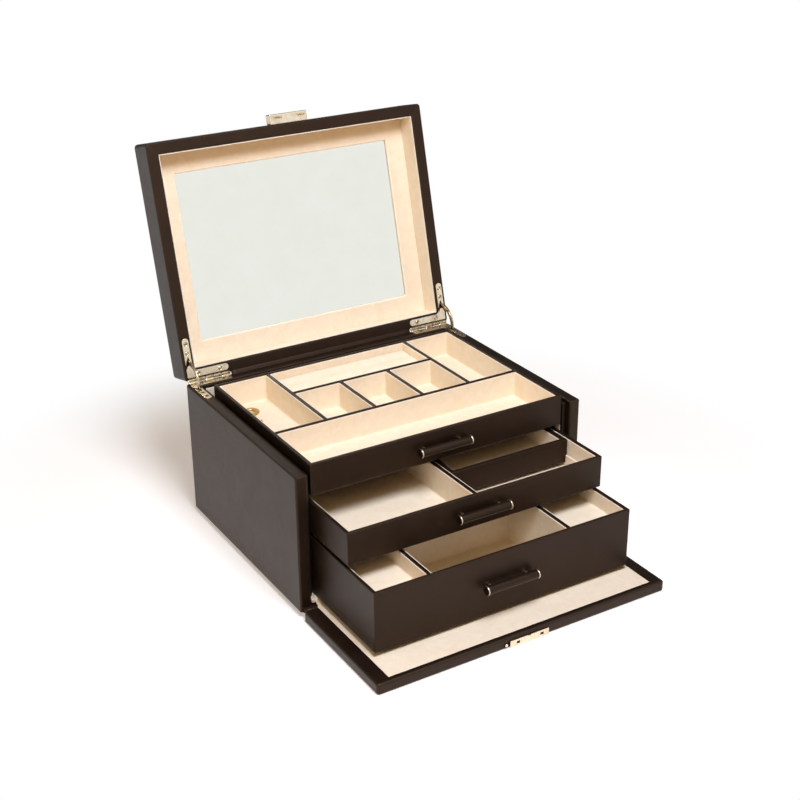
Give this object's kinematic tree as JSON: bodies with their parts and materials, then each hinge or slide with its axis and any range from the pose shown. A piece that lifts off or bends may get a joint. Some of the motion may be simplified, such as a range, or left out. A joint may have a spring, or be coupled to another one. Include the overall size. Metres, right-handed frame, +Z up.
{
  "type": "tiered jewelry box",
  "caption": "Leather-covered jewelry box with a hinged mirror lid, drawers that slide out in steps, and a fold-down front flap with a lock.",
  "frame": {"origin": "middle of the underside of the foot pad, on the table", "axes": "+X to the box's own left-to-right as seen from the front, -Y out of the front towards the user, +Z up"},
  "size_m": [0.267, 0.4006, 0.3311],
  "materials": {
    "leather": "fine-grained dark brown leatherette with a low sheen",
    "suede": "cream micro-suede, matt",
    "nickel": "polished champagne nickel",
    "brass": "polished brass",
    "mirror_glass": "clear silvered glass",
    "felt": "black felt"
  },
  "bodies": {
    "case": {"foot_pad": "felt", "base_board": "leather", "left_wall": "leather", "right_wall": "leather", "back_wall": "leather", "lower_shelf": "leather", "upper_shelf": "leather", "left_wall_lining": "suede", "right_wall_lining": "suede", "back_wall_lining": "suede", "floor_lining": "suede", "hinge_strip": "suede", "left_case_leaf": "nickel", "right_case_leaf": "nickel", "left_hinge_pin": "nickel", "right_hinge_pin": "nickel"},
    "lid": {"lid_shell": "leather", "lid_lining": "suede", "mirror_frame": "suede", "mirror": "mirror_glass", "left_lid_leaf": "nickel", "right_lid_leaf": "nickel", "lock_hasp": "nickel"},
    "left_stay": {"left_stay": "nickel"},
    "right_stay": {"right_stay": "nickel"},
    "flap": {"flap_board": "leather", "flap_lining": "suede", "lock_case": "nickel", "lock_edge_plate": "nickel", "lock_front_plate": "nickel"},
    "lock_bar": {"lock_bar": "nickel", "release_knob": "nickel"},
    "lock_barrel": {"lock_barrel": "nickel"},
    "top_tray": {"top_tray_box": "leather", "top_tray_lining": "suede", "top_tray_dividers": "leather", "ring_rolls": "suede", "top_tray_handle_rod": "nickel", "top_tray_handle_sleeve": "leather"},
    "key": {"key": "brass"},
    "middle_drawer": {"middle_drawer_box": "leather", "middle_drawer_lining": "suede", "middle_drawer_divider": "leather", "left_tray_ledge": "suede", "right_tray_ledge": "suede", "middle_drawer_handle_rod": "nickel", "middle_drawer_handle_sleeve": "leather"},
    "inner_tray": {"inner_tray_box": "leather", "inner_tray_lining": "suede"},
    "bottom_drawer": {"bottom_drawer_box": "leather", "bottom_drawer_lining": "suede", "left_bottom_divider": "leather", "right_bottom_divider": "leather", "cross_bottom_divider": "leather", "left_raised_floor": "suede", "right_raised_floor": "suede", "bottom_drawer_handle_rod": "nickel", "bottom_drawer_handle_sleeve": "leather"}
  },
  "joints": [
    {"name": "lid_hinge", "type": "hinge", "parent": "case", "child": "lid", "pos_m": [0, 0.1012, 0.1259], "axis": [-1, 0, 0], "range_deg": [-102.9, 0]},
    {"name": "left_stay_hinge", "type": "hinge", "parent": "case", "child": "left_stay", "pos_m": [0, 0.1012, 0.1259], "axis": [-1, 0, 0], "range_deg": [-51.45, 0]},
    {"name": "right_stay_hinge", "type": "hinge", "parent": "case", "child": "right_stay", "pos_m": [0, 0.1012, 0.1259], "axis": [-1, 0, 0], "range_deg": [-51.45, 0]},
    {"name": "flap_hinge", "type": "hinge", "parent": "case", "child": "flap", "pos_m": [0, -0.1038, 0.0075], "axis": [1, 0, 0], "range_deg": [-2.4, 0]},
    {"name": "lock_bar_slide", "type": "slide", "parent": "flap", "child": "lock_bar", "axis": [1, 0, 0], "range_m": [0, 0.0014], "stiffness_N_per_m": 300},
    {"name": "lock_barrel_turn", "type": "hinge", "parent": "flap", "child": "lock_barrel", "pos_m": [0, -0.2047, 0.0025], "axis": [0, 0, 1], "range_deg": [0, 90]},
    {"name": "top_tray_slide", "type": "slide", "parent": "case", "child": "top_tray", "axis": [0, -1, 0], "range_m": [-0.0077, 0.121]},
    {"name": "key_lift", "type": "slide", "parent": "top_tray", "child": "key", "axis": [0, 0, 1], "range_m": [0, 0.04]},
    {"name": "middle_drawer_slide", "type": "slide", "parent": "case", "child": "middle_drawer", "axis": [0, -1, 0], "range_m": [-0.0635, 0.065]},
    {"name": "inner_tray_slide", "type": "slide", "parent": "middle_drawer", "child": "inner_tray", "axis": [0, -1, 0], "range_m": [-0.0515, 0.0345]},
    {"name": "bottom_drawer_slide", "type": "slide", "parent": "case", "child": "bottom_drawer", "axis": [0, -1, 0], "range_m": [-0.1016, 0.027]}
  ],
  "couplings": [
    {"joint": "left_stay_hinge", "follows": "lid_hinge", "ratio": 0.5},
    {"joint": "right_stay_hinge", "follows": "lid_hinge", "ratio": 0.5}
  ]
}
